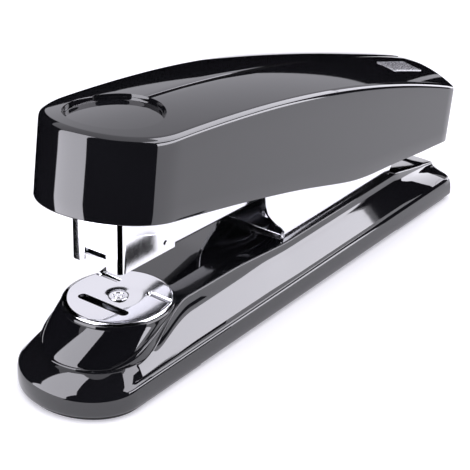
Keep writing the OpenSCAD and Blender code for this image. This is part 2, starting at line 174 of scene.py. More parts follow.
FINISHES = [
    Finish(Slot.GLOSS_BLACK, (0.008, 0.008, 0.010), (0.005, 0.005, 0.006), smooth=0.02, rough=0.05,
           ior=1.7, relief=0.03),
    Finish(Slot.COVER_BLACK, (0.008, 0.008, 0.010), (0.005, 0.005, 0.006), smooth=0.02, rough=0.05,
           ior=1.7, relief=0.03),
    Finish(Slot.CAP_BLACK, (0.007, 0.007, 0.009), (0.004, 0.004, 0.005), smooth=0.02, rough=0.05,
           ior=1.7, relief=0.03),
    Finish(Slot.SOLE_RUBBER, (0.022, 0.022, 0.023), (0.012, 0.012, 0.012), smooth=0.55, rough=0.8,
           relief=0.4, relief_depth=0.00005),
    Finish(Slot.ANVIL_CHROME, (0.93, 0.93, 0.95), (0.86, 0.86, 0.89), 1.0, 0.05, 0.12,
           relief=0.06),
    Finish(Slot.HEAD_CHROME, (0.93, 0.93, 0.95), (0.87, 0.87, 0.90), 1.0, 0.05, 0.11, relief=0.06),
    Finish(Slot.CHANNEL_CHROME, (0.90, 0.90, 0.93), (0.82, 0.82, 0.86), 1.0, 0.07, 0.16,
           grain=BRUSHED, relief=0.08),
    Finish(Slot.BRACKET_CHROME, (0.90, 0.90, 0.93), (0.83, 0.83, 0.87), 1.0, 0.06, 0.14,
           grain=BRUSHED, relief=0.08),
    Finish(Slot.ZINC_STEEL, (0.64, 0.65, 0.67), (0.50, 0.51, 0.54), 1.0, 0.28, 0.45, grain=BRUSHED,
           relief=0.3, relief_depth=0.00003),
    Finish(Slot.PIN_STEEL, (0.70, 0.70, 0.72), (0.58, 0.58, 0.61), 1.0, 0.16, 0.30, grain=TURNED,
           relief=0.25, relief_depth=0.00002),
    Finish(Slot.SPRING_STEEL, (0.50, 0.51, 0.54), (0.36, 0.37, 0.40), 1.0, 0.20, 0.38,
           relief=0.2, relief_depth=0.00002),
    Finish(Slot.STAPLE_WIRE, (0.74, 0.74, 0.76), (0.62, 0.62, 0.65), 1.0, 0.22, 0.36,
           relief=0.2, relief_depth=0.00002),
    Finish(Slot.BRASS_BUSH, (0.72, 0.56, 0.28), (0.56, 0.42, 0.20), 1.0, 0.22, 0.40, grain=TURNED,
           relief=0.25, relief_depth=0.00002),
    Finish(Slot.BLOCK_PLASTIC, (0.040, 0.040, 0.044), (0.026, 0.026, 0.028), smooth=0.40,
           rough=0.60, relief=0.4, relief_depth=0.00004),
    Finish(Slot.PUSHER_PLASTIC, (0.50, 0.035, 0.028), (0.34, 0.022, 0.018), smooth=0.30,
           rough=0.45, relief=0.3, relief_depth=0.00003),
    Finish(Slot.BADGE_METAL, (0.80, 0.80, 0.82), (0.70, 0.70, 0.73), 1.0, 0.20, 0.34,
           grain=BRUSHED, relief=0.2, relief_depth=0.00002),
]


class Paint:
    """All the finishes, built once and handed out by slot."""

    def __init__(self, finishes: list[Finish]) -> None:
        """Builds one material for each finish."""
        self.materials = {f.slot: f.material() for f in finishes}

    def dress(self, thing: bpy.types.Object, slot: Slot) -> bpy.types.Object:
        """Gives a piece one finish.

        Args:
            thing: the piece.
            slot: the record's slot that its finish comes from.

        Returns:
            The same piece.
        """
        thing.data.materials.clear()
        thing.data.materials.append(self.materials[slot])
        return thing

    def dress_frame(self, nodes: dict[str, bpy.types.Object], record: dict) -> None:
        """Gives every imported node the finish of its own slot.

        Args:
            nodes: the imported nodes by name.
            record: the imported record, which holds each node's slot.
        """
        for row in record["subparts"]:
            thing = nodes[row["node"]]
            thing.data.materials.clear()
            thing.data.materials.append(self.materials[Slot(row["material_slot"])])


def placed(name: str, made: bmesh.types.BMesh) -> bpy.types.Object:
    """Turns a mesh into an object of the scene.

    Args:
        name: the object's name, which its mesh shares.
        made: the mesh; it is freed here.

    Returns:
        The new object.
    """
    mesh = bpy.data.meshes.new(name)
    made.to_mesh(mesh)
    made.free()
    thing = bpy.data.objects.new(name, mesh)
    bpy.context.scene.collection.objects.link(thing)
    return thing


class Workshop:
    """Turns rings of points into pieces that ride on a body."""

    def __init__(self, paint: Paint) -> None:
        """Keeps the finishes that pieces are dressed in."""
        self.paint = paint
        self.made: list[bpy.types.Object] = []

    def piece(
        self,
        name: str,
        build: bmesh.types.BMesh,
        body: Body,
        slot: Slot,
        stands_for: tuple[str, ...] = (),
        sharp: float = SHARP_ANGLE,
    ) -> bpy.types.Object:
        """Finishes a mesh and mounts it.

        Args:
            name: the piece's name.
            build: the mesh, in millimetres; it is freed here.
            body: the body that the piece moves with.
            slot: the slot that its finish comes from.
            stands_for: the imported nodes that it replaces.
            sharp: the angle above which an edge stays sharp.

        Returns:
            The new piece.
        """
        bmesh.ops.remove_doubles(build, verts=build.verts, dist=0.0005)
        bmesh.ops.recalc_face_normals(build, faces=build.faces)
        bmesh.ops.scale(build, vec=(MM, MM, MM), verts=build.verts)
        thing = placed(name, build)
        thing.data.shade_smooth()
        thing.data.set_sharp_from_angle(angle=sharp)
        self.paint.dress(thing, slot)
        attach(thing, body.value)
        if stands_for:
            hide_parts(*stands_for)
        self.made.append(thing)
        return thing

    @staticmethod
    def loft(
        rings: list[Ring],
        build: bmesh.types.BMesh | None = None,
        closed: bool = True,
        caps: bool = True,
    ) -> bmesh.types.BMesh:
        """Joins rings of equal length with quads.

        Args:
            rings: the rings, each a list of points.
            build: the mesh to add to, or None for a new one.
            closed: whether each ring joins its last point to its first.
            caps: whether the first and last rings are filled.

        Returns:
            The mesh.
        """
        build = build or bmesh.new()
        rows = [[build.verts.new(p) for p in ring] for ring in rings]
        count = len(rings[0])
        last = count if closed else count - 1
        for lower, upper in zip(rows, rows[1:]):
            for k in range(last):
                n = (k + 1) % count
                build.faces.new((lower[k], lower[n], upper[n], upper[k]))
        if caps:
            build.faces.new(list(reversed(rows[0])))
            build.faces.new(rows[-1])
        return build

    @staticmethod
    def prism(
        outline: list[tuple[float, float]],
        low: float,
        high: float,
        across: bool = False,
        build: bmesh.types.BMesh | None = None,
    ) -> bmesh.types.BMesh:
        """Carries a flat outline from one level to another.

        Args:
            outline: the corners, in plan, or in side view if across.
            low: the first level.
            high: the second level.
            across: whether the outline is a side view carried along Y.
            build: the mesh to add to, or None for a new one.

        Returns:
            The mesh.
        """
        rings = []
        for level in (low, high):
            rings.append([(a, level, b) if across else (a, b, level) for a, b in outline])
        return Workshop.loft(rings, build)

    @staticmethod
    def turned(x: float, profile: list[tuple[float, float]], steps: int) -> list[Ring]:
        """Rings of a turned shape that stands upright at x.

        Args:
            x: where its middle is along the stapler.
            profile: its side line, as radius and height.
            steps: how many points go round.

        Returns:
            One ring for each point of the profile.
        """
        rings = []
        for radius, z in profile:
            ring = []
            for k in range(steps):
                a = 2 * math.pi * k / steps
                ring.append((x + radius * math.cos(a), radius * math.sin(a), z))
            rings.append(ring)
        return rings

    @staticmethod
    def edge_break(thing: bpy.types.Object, width: float, steps: int = 2) -> None:
        """Rounds a piece's sharp edges.

        Args:
            thing: the piece.
            width: how far each edge is cut back, in millimetres.
            steps: how many faces make the rounding.
        """
        bevel = thing.modifiers.new("edges", "BEVEL")
        bevel.width = width * MM
        bevel.segments = steps
        bevel.limit_method = "ANGLE"
        bevel.angle_limit = SHARP_ANGLE
        bevel.harden_normals = True


def ease(x: float) -> float:
    """A smooth step from 0 to 1 as x goes from 0 to 1."""
    x = min(1.0, max(0.0, x))
    return x * x * (3 - 2 * x)


def between(points: list[tuple[float, float]], x: float) -> float:
    """Height of a drawn line at x.

    Args:
        points: the line's corners, in order of x.
        x: the place along it.

    Returns:
        The height, level beyond both ends.
    """
    if x <= points[0][0]:
        return points[0][1]
    for (x0, y0), (x1, y1) in zip(points, points[1:]):
        if x <= x1:
            return y0 + (y1 - y0) * (x - x0) / (x1 - x0)
    return points[-1][1]


def spaced(low: float, high: float, count: int) -> list[float]:
    """Evenly spaced numbers from low to high, both included."""
    return [low + (high - low) * k / (count - 1) for k in range(count)]


def swing(place: Point, centre: Point, angle: float) -> Point:
    """Carries a point of a tilted part's own axes into the shared frame.

    Args:
        place: the point in the part's axes, in millimetres.
        centre: where those axes have their origin.
        angle: the tilt about Y, in degrees; positive lowers the far end.

    Returns:
        The point in the shared frame.
    """
    a = math.radians(angle)
    x, y, z = place
    return (
        centre[0] + x * math.cos(a) + z * math.sin(a),
        centre[1] + y,
        centre[2] - x * math.sin(a) + z * math.cos(a),
    )


@dataclass
class Cover:
    """The long moulded cover of the handle, in the handle's own axes."""

    tilt: float = 10.0
    nose_radius: float = 18.1
    nose_u: float = 18.4
    rear_u: float = 140.0
    rear_half: float = 20.6
    rear_bow: float = 60.0
    corner: float = 3.0
    arch: float = 509.6
    crest_u: float = 67.6
    crest_w: float = 71.8
    dish_u: float = 16.0
    dish_radius: float = 11.5
    dish_depth: float = 1.4
    groove_half: float = 0.5
    groove_depth: float = 0.9
    seam_u: float = 36.0
    lip: float = 0.2
    groove_lip: float = 0.28
    groove_lane: float = 1.35
    outer_mark: float = 10.0
    side_fall: float = 1.88
    late_fall: float = 0.00031
    late_u: float = 45.0
    wall: float = 2.0
    chamfer: float = 1.5
    edge_fall: float = 1.8
    rim: list[tuple[float, float]] = field(default_factory=lambda: [
        (3, 47.9), (12, 47.6), (27, 47.5), (45, 47.1), (65, 46.1), (78, 44.9), (86, 44.1),
        (92, 43.8), (97, 44.1), (103, 44.8), (109, 45.4), (122, 46.2), (136, 47.6)])

    def world(self, u: float, v: float, w: float) -> Point:
        """Carries a point of the handle's axes into the shared frame."""
        return swing((u, v, w), (-79.0, 0.0, 0.0), self.tilt)

    def half(self, u: float) -> float:
        """Half of the cover's width at u, behind the nose."""
        share = (u - self.nose_u) / (self.rear_u - self.nose_u)
        return self.nose_radius + (self.rear_half - self.nose_radius) * max(0.0, share)

    def crown(self, u: float, v: float) -> float:
        """Height of the plain arched top.

        Args:
            u: the place along the cover.
            v: the offset from its middle.

        Returns:
            The height.
        """
        along = self.crest_w - self.arch + math.sqrt(self.arch**2 - (u - self.crest_u) ** 2)
        drop = self.side_fall + self.late_fall * max(0.0, u - self.late_u) ** 2
        return along - drop * (v / self.half(u)) ** 2

    def top(self, u: float, v: float) -> float:
        """Height of the top with its dish and its groove.

        Args:
            u: the place along the cover.
            v: the offset from its middle.

        Returns:
            The height.
        """
        reach = math.hypot(u - self.dish_u, v)
        depth = self.dish_depth * (1 - ease((reach - self.dish_radius + self.lip) / self.lip))
        if u > self.dish_u and reach > self.dish_radius - 0.01:
            side = (abs(v) - self.groove_half) / self.groove_lip
            depth = max(depth, self.groove_depth * (1 - ease(side)))
        return self.crown(u, v) - depth

    def rim_height(self, u: float) -> float:
        """Height of the lower rim at u, smoothed along the cover."""
        steps = (-6, -3, 0, 3, 6)
        return sum(between(self.rim, u + s) for s in steps) / len(steps)

    def rear_edge(self, v: float, inset: float) -> float:
        """How far back the outline goes.

        Args:
            v: the offset from the cover's middle.
            inset: how far the outline is moved inwards.

        Returns:
            The place along the cover.
        """
        bow_u = self.rear_u - self.rear_bow
        bow = self.rear_bow - inset
        side = self.half(self.rear_u - self.corner) - inset
        corner = self.corner - inset * 0.5
        fillet_v = side - corner
        reach = bow_u + math.sqrt(bow * bow - v * v)
        if abs(v) > fillet_v:
            fillet_u = bow_u + math.sqrt((bow - corner) ** 2 - fillet_v**2)
            over = min(corner, abs(v) - fillet_v)
            reach = min(reach, fillet_u + math.sqrt(corner * corner - over * over))
        return reach

    def nose_reach(self, angle: float, inset: float) -> tuple[float, float]:
        """Where a spoke from the dish's middle meets the outline.

        Args:
            angle: the spoke's direction from straight back, in radians.
            inset: how far inside the outline it stops.

        Returns:
            The place (u, v).
        """
        near, far = 0.0, 60.0
        for _ in range(40):
            mid = (near + far) / 2
            u = self.dish_u + mid * math.cos(angle)
            v = mid * math.sin(angle)
            if u < self.nose_u:
                inside = math.hypot(u - self.nose_u, v) < self.nose_radius - inset
            else:
                inside = u < self.seam_u and abs(v) < self.half(u) - inset
            near, far = (mid, far) if inside else (near, mid)
        return self.dish_u + near * math.cos(angle), near * math.sin(angle)

    def lanes(self) -> list[float]:
        """Marks the lines that run along the cover.

        Returns:
            Offsets in millimetres near the groove; past outer_mark, shares of the rest.
        """
        groove = [0.0, 0.3, 0.5, 0.58, 0.66, 0.74, self.groove_lane]
        count, crowding = 16, 1.5
        outer = [1 - (1 - k / count) ** crowding for k in range(1, count + 1)]
        right = groove + [self.outer_mark + share for share in outer]
        return [-v for v in reversed(right[1:])] + right

    def lane_v(self, lane: float, half: float) -> float:
        """Offset of one lane from the middle.

        Args:
            lane: the lane's mark.
            half: half of the cover's width there.

        Returns:
            The offset, with the lane's sign.
        """
        size = abs(lane)
        if size > self.outer_mark:
            size = self.groove_lane + (size - self.outer_mark) * (half - self.groove_lane)
        return math.copysign(size, lane)

    def skin(self, build: bmesh.types.BMesh, inset: float, lower: float) -> list:
        """Adds one skin of the cover.

        Args:
            build: the mesh to add to.
            inset: how far inside the outline the skin ends.
            lower: how far under the top it lies.

        Returns:
            The vertices round its boundary, in order.
        """
        def vert(u: float, v: float) -> bmesh.types.BMVert:
            """One vertex of the skin at (u, v)."""
            return build.verts.new((u, v, self.top(u, v) - lower))

        lanes = self.lanes()
        seam_half = self.half(self.seam_u) - inset
        seam = [self.lane_v(k, seam_half) for k in lanes]
        corner = math.atan2(seam_half, self.seam_u - self.dish_u)
        rims: list[tuple[float, float, float, float]] = []
        ring = self.dish_radius
        for lane, v in zip(lanes, seam):
            if abs(lane) < self.outer_mark:
                start = (self.dish_u + math.sqrt(ring * ring - v * v), v)
            else:
                turn = math.asin(self.groove_lane / ring)
                turn += (abs(lane) - self.outer_mark) * (corner - turn)
                turn = math.copysign(turn, lane)
                start = (self.dish_u + ring * math.cos(turn), ring * math.sin(turn))
            rims.append((*start, self.seam_u, v))
        for angle in spaced(corner, 2 * math.pi - corner, 62)[1:-1]:
            reach = self.nose_reach(angle, inset)
            start = (self.dish_u + ring * math.cos(angle), ring * math.sin(angle))
            rims.append((*start, *reach))
        inner = [0.08, 0.25, 0.45, 0.62, 0.78, 0.9, 0.97, 0.982, 0.985, 0.988, 0.991, 0.994, 0.997]
        outer = [0.0, 0.04, 0.12, 0.3, 0.5, 0.7, 0.88, 1.0]
        rows = []
        for f in inner:
            rows.append([vert(self.dish_u + (a - self.dish_u) * f, b * f) for a, b, _, _ in rims])
        for f in outer:
            rows.append([vert(a + (c - a) * f, b + (d - b) * f) for a, b, c, d in rims])
        count = len(rims)
        build.faces.new(rows[0])
        for lower_row, upper_row in zip(rows, rows[1:]):
            for k in range(count):
                n = (k + 1) % count
                build.faces.new((lower_row[k], lower_row[n], upper_row[n], upper_row[k]))
        wide = len(lanes)
        grid = [rows[-1][:wide]]
        stations = 40
        for s in range(1, stations + 1):
            row = []
            for lane in lanes:
                v = self.lane_v(lane, seam_half)
                for _ in range(3):
                    end = self.rear_edge(v, inset)
                    u = self.seam_u + (end - self.seam_u) * s / stations
                    v = self.lane_v(lane, self.half(min(u, self.rear_u - self.corner)) - inset)
                row.append(vert(u, v))
            grid.append(row)
        for near, far in zip(grid, grid[1:]):
            for k in range(wide - 1):
                build.faces.new((near[k], near[k + 1], far[k + 1], far[k]))
        right = [row[-1] for row in grid[:-1]]
        left = [row[0] for row in grid[1:-1]]
        return rows[-1][wide:] + left + grid[-1] + list(reversed(right))

    def outward(self, u: float, v: float, inset: float) -> tuple[float, float]:
        """Direction out of the outline in plan.

        Args:
            u: the place along the cover.
            v: the offset from its middle.
            inset: how far inside the outline that place is.

        Returns:
            The direction (u, v), of length 1.
        """
        if u < self.nose_u:
            away = Vector((u - self.nose_u, v))
        else:
            bow_u = self.rear_u - self.rear_bow
            side = self.half(self.rear_u - self.corner) - inset
            corner = self.corner - inset * 0.5
            fillet_v = side - corner
            fillet_u = bow_u + math.sqrt((self.rear_bow - inset - corner) ** 2 - fillet_v**2)
            if u > fillet_u and abs(v) > fillet_v:
                away = Vector((u - fillet_u, v - math.copysign(fillet_v, v)))
            elif u > fillet_u:
                away = Vector((u - bow_u, v))
            else:
                away = Vector((-0.02, math.copysign(1.0, v)))
        away.normalize()
        return away.x, away.y

    def build(self, shop: Workshop) -> None:
        """Makes the cover.

        Args:
            shop: the workshop.
        """
        made = bmesh.new()
        edge = self.skin(made, self.chamfer, 0.0)
        under = self.skin(made, self.wall, self.wall)
        base = [(p.co.x, p.co.y, p.co.z) for p in edge]
        out = [self.outward(u, v, self.chamfer) for u, v, _ in base]
        profile = [(0.12, -0.03), (1.1, -0.62), (1.24, -0.74), (1.36, -0.98), (1.44, -1.3),
                   (1.5, -1.8)]
        rows = [edge]
        for step, fall in profile:
            rows.append([made.verts.new((u + n[0] * step, v + n[1] * step, w + fall))
                         for (u, v, w), n in zip(base, out)])
        full = [(u + n[0] * self.chamfer, v + n[1] * self.chamfer) for (u, v, _), n in
                zip(base, out)]
        rims = [self.rim_height(u) for u, _ in full]
        rim_round = 0.35
        heads = [w - self.edge_fall for _, _, w in base]
        for share in (0.2, 0.4, 0.6, 0.8, 1.0):
            rows.append([made.verts.new((u, v, head + (rim + rim_round - head) * share))
                         for (u, v), head, rim in zip(full, heads, rims)])
        for step, lift in ((0.1, 0.1), (rim_round, 0.0), (self.wall - 0.3, 0.0), (self.wall, 0.3)):
            rows.append([made.verts.new((u - n[0] * step, v - n[1] * step, rim + lift))
                         for (u, v), n, rim in zip(full, out, rims)])
        rows.append(under)
        for a, b in zip(rows, rows[1:]):
            for k in range(len(a)):
                n = (k + 1) % len(a)
                made.faces.new((a[k], a[n], b[n], b[k]))
        for p in made.verts:
            p.co = self.world(*p.co)
        shop.piece("handle_cover", made, Body.HANDLE, Slot.COVER_BLACK, ("top_cover",),
                   math.radians(50))


@dataclass
class Badge:
    """A small ribbed metal inlay near the rear of the cover."""

    u: float = 122.0
    v: float = -9.5
    length: float = 14.0
    width: float = 6.0
    thickness: float = 0.15
    border: float = 0.5
    ribs: int = 7

    def build(self, shop: Workshop, cover: Cover) -> None:
        """Makes the plate with its border and ribs.

        Args:
            shop: the workshop.
            cover: the cover that it lies on.
        """
        made = bmesh.new()
        inner = self.length - 2 * self.border
        tall = self.width / 2 - self.border / 2
        for s in (-1, 1):
            self.slab(made, 0, s * tall, self.length, self.border, self.thickness)
            self.slab(made, s * (self.length - self.border) / 2, 0, self.border, self.width,
                      self.thickness)
        pitch = inner / self.ribs
        for k in range(self.ribs):
            place = (k + 0.5) * pitch - inner / 2
            self.slab(made, place, 0, pitch * 0.26, self.width - self.border, self.thickness)
        for p in made.verts:
            u, v, w = p.co
            p.co = cover.world(self.u + u, self.v + v, cover.crown(self.u + u, self.v + v) + w)
        thing = shop.piece("cover_badge_plate", made, Body.HANDLE, Slot.BADGE_METAL,
                           ("cover_badge",))
        Workshop.edge_break(thing, 0.08, 1)

    @staticmethod
    def slab(made: bmesh.types.BMesh, x: float, y: float, dx: float, dy: float,
             top: float) -> None:
        """Adds a flat block whose foot is sunk into the cover.

        Args:
            made: the mesh to add to.
            x: its middle along the badge.
            y: its middle across the badge.
            dx: its length.
            dy: its width.
            top: how far it stands out of the cover.
        """
        outline = []
        for a, b in ((-1, -1), (1, -1), (1, 1), (-1, 1)):
            outline.append((x + a * dx / 2, y + b * dy / 2))
        Workshop.prism(outline, -0.15, 0.1 + top, build=made)


@dataclass
class Base:
    """The moulded base: skirt, sloping shoulder, flanks and deck."""

    front: float = -79.0
    rear: float = 79.0
    half: float = 17.0
    nose_depth: float = 13.9
    bow: float = 30.39
    skirt_top: float = 6.9
    foot: float = 16.1
    corner_cut: float = 0.5
    knee_top: float = 13.6
    knee_rise: float = 0.7
    knee_in: float = 0.76
    knee_bend: float = 2.2
    merge_x: float = -62.0
    merge_length: float = 20.0
    cap_x: float = -59.2
    cap_radius: float = 13.6
    disc_x: float = -52.5
    neck_radius: float = 14.6
    shoulder_rise: float = 3.3
    deck: list[tuple[float, float]] = field(default_factory=lambda: [
        (-52.5, 18.3), (-43, 18.3), (-21.8, 17.8), (-2.4, 16.0), (50, 16), (77.6, 8), (78.3, 6.9)])
    hips: list[tuple[float, float]] = field(default_factory=lambda: [
        (50, 12.6), (60, 11.2), (70, 9.5), (78, 8.3)])

    def outline(self, inset: float) -> list[tuple[float, float]]:
        """Plan outline of the base, moved inwards.

        Args:
            inset: how far inwards.

        Returns:
            The points, round the nose and back along the sides.
        """
        nose_x = self.front + self.nose_depth
        bow_x = self.rear - self.bow
        points = []
        for k in range(49):
            a = math.pi * k / 48
            points.append((nose_x - (self.nose_depth - inset) * math.sin(a),
                           (self.half - inset) * math.cos(a)))
        turn = math.asin(self.half / self.bow)
        edge = self.half - inset
        places = spaced(nose_x, 70.0, 30)[1:]
        side = [(x, -edge) for x in places]
        steps = 24
        rear = []
        for k in range(steps + 1):
            a = -turn + 2 * turn * k / steps
            x = bow_x + (self.bow - inset) * math.cos(a)
            y = (self.bow - inset) * math.sin(a)
            if k in (0, steps):
                x -= self.corner_cut
            rear.append((x, max(-edge, min(edge, y))))
        other = [(x, edge) for x in reversed(places)]
        return points + side + rear + other

    def width_limit(self, x: float) -> float:
        """Half-width of the raised body at x, where the rear edge cuts it.

        Args:
            x: the place along the base.

        Returns:
            The half-width, 0 behind the rear edge.
        """
        reach = self.bow - 0.9
        over = max(0.0, x - (self.rear - self.bow))
        return min(self.foot, math.sqrt(max(0.0, reach * reach - over * over)))

    def flank(self, t: float, foot: float, ledge: float, top: float) -> tuple[float, float]:
        """A point on the flank: a straight slope that turns upright near the top.

        Args:
            t: how far up, from 0 to 1.
            foot: the half-width at the foot.
            ledge: the half-width at the top.
            top: the height of the top.

        Returns:
            The half-width and the height.
        """
        knee_z = min(self.knee_top, self.skirt_top + (top - self.skirt_top) * self.knee_rise)
        knee_y = foot + (ledge - foot) * self.knee_in
        if t <= 0.5:
            share = t * 2
            height = self.skirt_top + (knee_z - self.skirt_top) * share
            return foot + (knee_y - foot) * share, height
        share = t * 2 - 1
        return (knee_y + (ledge - knee_y) * (1 - (1 - share) ** self.knee_bend),
                knee_z + (top - knee_z) * share)

    def section(self, x: float) -> Ring:
        """One cross-section of the raised body.

        Args:
            x: the place along the base.

        Returns:
            The points from the near foot over the deck to the far one.
        """
        edge_in, edge_up = 0.5, 0.45
        foot = self.width_limit(x)
        top = between(self.deck, x)
        for step in (-2, 2):
            top = (top + between(self.deck, x + step)) / 2 if -45 < x < 70 else top
        ledge = min(between(self.hips, x), foot - 0.05)
        right = [(foot, self.skirt_top - 0.3)]
        blend = ease((x - self.merge_x) / self.merge_length)
        for k in range(15):
            t = k / 14
            flank_y, flank_z = self.flank(t, foot, ledge, top - edge_up)
            round_y = foot - (self.foot - self.neck_radius) * t
            round_z = self.skirt_top + self.shoulder_rise * (t + 0.25 * t * (1 - t)) + 0.02
            right.append((round_y + (flank_y - round_y) * blend,
                          round_z + (flank_z - round_z) * blend))
        y_end, z_end = right[-1]
        for a in (22.5, 45, 67.5, 90):
            turn = math.radians(a)
            right.append((y_end - edge_in * (1 - math.cos(turn)),
                          z_end + edge_up * math.sin(turn) * blend))
        deck_y, deck_z = right[-1]
        right.append((deck_y * 0.6, deck_z))
        right.append((deck_y * 0.3, deck_z))
        near = [(x, -y, z) for y, z in right]
        far = [(x, y, z) for y, z in reversed(right)]
        return near + [(x, 0.0, deck_z)] + far

    def build(self, shop: Workshop) -> None:
        """Makes the base, its nose cap and its soles.

        Args:
            shop: the workshop.
        """
        skirt = []
        for inset, z in ((1.4, 1.2), (0.5, 1.25), (0.15, 1.5), (0.0, 2.0), (0.0, 3.6), (0.1, 5.0),
                         (0.3, 6.1), (0.55, 6.6), (0.9, self.skirt_top)):
            skirt.append([(x, y, z) for x, y in self.outline(inset)])
        for k in range(1, 9):
            skirt.append([self.shoulder(x, y, k / 8) for x, y in self.outline(0.9)])
        made = Workshop.loft(skirt, caps=True)
        stations = spaced(-62.5, -42.0, 42)[:-1] + spaced(-42.0, 76.0, 60)
        stations += [76.5, 77.0, 77.4, 77.7, 77.9, 78.0]
        body = [self.section(x) for x in stations]
        Workshop.loft(body, made, closed=False, caps=False)
        Workshop.loft(self.neck(), made, caps=False)
        shop.piece("base_moulding", made, Body.BASE, Slot.GLOSS_BLACK, ("base_shell",))
        self.cap(shop)
        self.soles(shop)

    def shoulder(self, x: float, y: float, share: float) -> Point:
        """A point on the slope from the skirt up to the neck.

        Args:
            x: the skirt point's place along the base.
            y: its offset from the middle.
            share: how far up the slope, from 0 to 1.

        Returns:
            The point.
        """
        over = x - self.cap_x
        if over < 0:
            size = math.hypot(over, y)
            inner = (self.cap_x + over * self.neck_radius / size, y * self.neck_radius / size)
        else:
            inner = (x, y * self.neck_radius / self.foot)
        rise = self.shoulder_rise * (1 - ease((over + 1) / 4))
        height = self.skirt_top + rise * (share + 0.25 * share * (1 - share))
        return (x + (inner[0] - x) * share, y + (inner[1] - y) * share, height)

    def neck(self) -> list[Ring]:
        """The collar of the base that the nose cap sits in; it climbs towards the disc.

        Returns:
            Its rings, from the outside in.
        """
        profile = [(15.0, 0.0), (14.6, 0.1), (14.35, 0.25), (14.25, 0.4), (14.2, 0.7),
                   (14.15, 0.9), (14.05, 0.97), (13.9, 1.0), (13.5, 1.0), (13.4, 0.9)]
        rings = []
        for radius, share in profile:
            ring = []
            for k in range(96):
                a = 2 * math.pi * k / 96
                z = self.skirt_top
                for _ in range(4):
                    lean = min(1.0, max(0.0, (z - 10.6) / 6.6)) ** 2
                    lean = self.cap_x + (self.disc_x - self.cap_x) * lean
                    x = lean + radius * math.cos(a)
                    top = min(17.4, 10.5 + max(0.0, x + 68.0) * 0.36)
                    z = 9.2 + (top - 9.2) * share
                ring.append((x, radius * math.sin(a), z))
            rings.append(ring)
        return rings

    def cap(self, shop: Workshop) -> None:
        """Makes the slanted nose cap that holds the anvil.

        Args:
            shop: the workshop.
        """
        steps = 96
        foot, head = 10.6, 17.2
        bulge = 1.4
        rim_radius, rim_out, rim_rise = 13.2, 0.4, 0.9
        flange = [(13.0, 9.0), (13.95, 9.4), (14.05, 9.9), (13.95, 10.3), (13.7, 10.5)]
        rings = Workshop.turned(self.cap_x, flange, steps)
        for t in spaced(0.0, 1.0, 13):
            lean = self.cap_x + (self.disc_x - self.cap_x) * t**bulge
            level = [(self.cap_radius, foot + (head - foot) * t)]
            rings += Workshop.turned(lean, level, steps)
        rim = []
        for turn in spaced(0.0, math.pi / 2, 6)[1:]:
            rim.append((rim_radius + rim_out * math.cos(turn), head + rim_rise * math.sin(turn)))
        seat = [(13.15, 18.0), (13.1, 17.6), (13.1, 16.9), (12.0, 16.8)]
        rings += Workshop.turned(self.disc_x, rim + seat, steps)
        shop.piece("nose_cap_moulding", Workshop.loft(rings), Body.BASE, Slot.CAP_BLACK,
                   ("nose_cap",))

    def soles(self, shop: Workshop) -> None:
        """Makes the two rubber soles.

        Args:
            shop: the workshop.
        """
        for name, node, low, high in (("front_sole_pad", "front_sole", -80, -38),
                                      ("rear_sole_pad", "rear_sole", 46, 80)):
            rings = []
            for inset, z in ((1.7, 0.0), (1.35, 0.12), (1.2, 0.35), (1.2, 1.2)):
                ring = [(x, y, z) for x, y in self.outline(inset) if low < x < high]
                rings.append(ring)
            shop.piece(name, Workshop.loft(rings), Body.BASE, Slot.SOLE_RUBBER, (node,))


